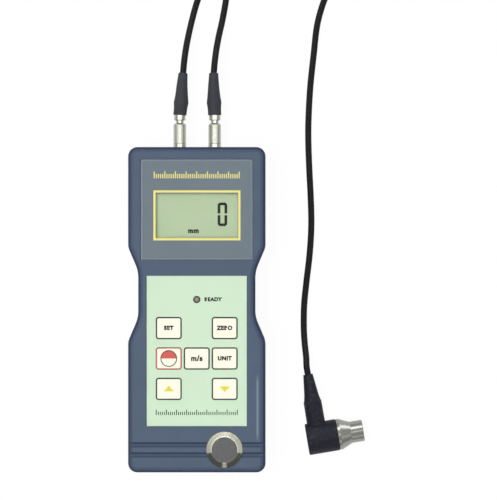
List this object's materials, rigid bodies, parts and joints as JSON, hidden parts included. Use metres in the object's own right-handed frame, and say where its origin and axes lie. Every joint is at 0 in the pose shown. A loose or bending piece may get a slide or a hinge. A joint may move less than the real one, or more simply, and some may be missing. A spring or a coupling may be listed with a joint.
{
  "type": "ultrasonic thickness gauge",
  "caption": "Hand-held thickness gauge in a waisted two-shell case with a display, a keypad, a steel test block and a corded right-angle probe on plug-in leads.",
  "frame": {"origin": "middle of the case's flat back, on the surface that the gauge lies on", "axes": "+Z out of the front face, +Y towards the socket end, +X to the right of someone who reads the display"},
  "size_m": [0.1179, 0.2858, 0.032],
  "materials": {
    "case_plastic": "fine spark-eroded texture",
    "panel_plastic": "satin printed plate",
    "pane": "clear",
    "lcd": "reflective display cell",
    "white_plastic": "moulded",
    "strip_rubber": "layered contact rubber",
    "keypad_film": "satin printed film",
    "key_film": "satin printed film",
    "switch_plastic": "moulded",
    "lamp_plastic": "diffused",
    "block_steel": "ground face, polished cone",
    "board": "solder mask",
    "board_metal": "cans and packages",
    "screw_steel": "plated",
    "nickel": "bright nickel",
    "wire": "thin coax",
    "cell_can": "plain sleeve",
    "boot_rubber": "moulded",
    "cord_jacket": "smooth jacket",
    "probe_plastic": "satin",
    "probe_steel": "turned",
    "delay_plastic": "ground flush",
    "crystal": "electroded"
  },
  "bodies": {
    "gauge": {"front_case": "case_plastic", "rear_case": "case_plastic", "display_panel": "panel_plastic", "display_window": "pane", "lcd_glass": "lcd", "lcd_holder": "white_plastic", "lcd_strips": "strip_rubber", "keypad_overlay": "keypad_film", "key_switches": "switch_plastic", "controller_chip": "switch_plastic", "coupling_lamp": "lamp_plastic", "test_block": "block_steel", "main_board": "board", "board_parts": "board_metal", "board_screws": "screw_steel", "case_screws": "screw_steel", "battery_springs": "screw_steel", "battery_contacts": "screw_steel", "left_socket": "nickel", "right_socket": "nickel", "socket_nuts": "nickel", "socket_wires": "wire", "battery_1": "cell_can", "battery_2": "cell_can", "battery_3": "cell_can", "battery_4": "cell_can"},
    "select_button": {"select_key": "key_film", "select_plunger": "switch_plastic"},
    "calibrate_button": {"calibrate_key": "key_film", "calibrate_plunger": "switch_plastic"},
    "power_button": {"power_key": "key_film", "power_plunger": "switch_plastic"},
    "velocity_button": {"velocity_key": "key_film", "velocity_plunger": "switch_plastic"},
    "units_button": {"units_key": "key_film", "units_plunger": "switch_plastic"},
    "up_button": {"up_key": "key_film", "up_plunger": "switch_plastic"},
    "down_button": {"down_key": "key_film", "down_plunger": "switch_plastic"},
    "cover": {"battery_cover": "case_plastic"},
    "probe_lead": {"left_plug": "nickel", "right_plug": "nickel", "left_boot": "boot_rubber", "right_boot": "boot_rubber", "left_lead": "cord_jacket", "right_lead": "cord_jacket", "cable_yoke": "cord_jacket", "cable_coil": "cord_jacket", "cable_tie": "cord_jacket", "probe_cable": "cord_jacket", "probe_boot": "boot_rubber", "probe_housing": "probe_plastic", "probe_case": "probe_steel", "delay_lines": "delay_plastic", "acoustic_barrier": "delay_plastic", "probe_crystals": "crystal", "damping_block": "delay_plastic"},
    "left_latch": {"left_latch_sleeve": "nickel"},
    "right_latch": {"right_latch_sleeve": "nickel"}
  },
  "joints": [
    {"name": "select_press", "type": "slide", "parent": "gauge", "child": "select_button", "axis": [0, 0, -1], "range_m": [0, 0.0004], "stiffness_N_per_m": 3000},
    {"name": "calibrate_press", "type": "slide", "parent": "gauge", "child": "calibrate_button", "axis": [0, 0, -1], "range_m": [0, 0.0004], "stiffness_N_per_m": 3000},
    {"name": "power_press", "type": "slide", "parent": "gauge", "child": "power_button", "axis": [0, 0, -1], "range_m": [0, 0.0004], "stiffness_N_per_m": 3000},
    {"name": "velocity_press", "type": "slide", "parent": "gauge", "child": "velocity_button", "axis": [0, 0, -1], "range_m": [0, 0.0004], "stiffness_N_per_m": 3000},
    {"name": "units_press", "type": "slide", "parent": "gauge", "child": "units_button", "axis": [0, 0, -1], "range_m": [0, 0.0004], "stiffness_N_per_m": 3000},
    {"name": "up_press", "type": "slide", "parent": "gauge", "child": "up_button", "axis": [0, 0, -1], "range_m": [0, 0.0004], "stiffness_N_per_m": 3000},
    {"name": "down_press", "type": "slide", "parent": "gauge", "child": "down_button", "axis": [0, 0, -1], "range_m": [0, 0.0004], "stiffness_N_per_m": 3000},
    {"name": "cover_slide", "type": "slide", "parent": "gauge", "child": "cover", "axis": [0, -1, 0], "range_m": [0, 0.062]},
    {"name": "lead_unplug", "type": "slide", "parent": "gauge", "child": "probe_lead", "axis": [0, 1, 0], "range_m": [0, 0.012]},
    {"name": "left_latch_pull", "type": "slide", "parent": "probe_lead", "child": "left_latch", "axis": [0, 1, 0], "range_m": [0, 0.0012], "stiffness_N_per_m": 4000},
    {"name": "right_latch_pull", "type": "slide", "parent": "probe_lead", "child": "right_latch", "axis": [0, 1, 0], "range_m": [0, 0.0012], "stiffness_N_per_m": 4000}
  ]
}
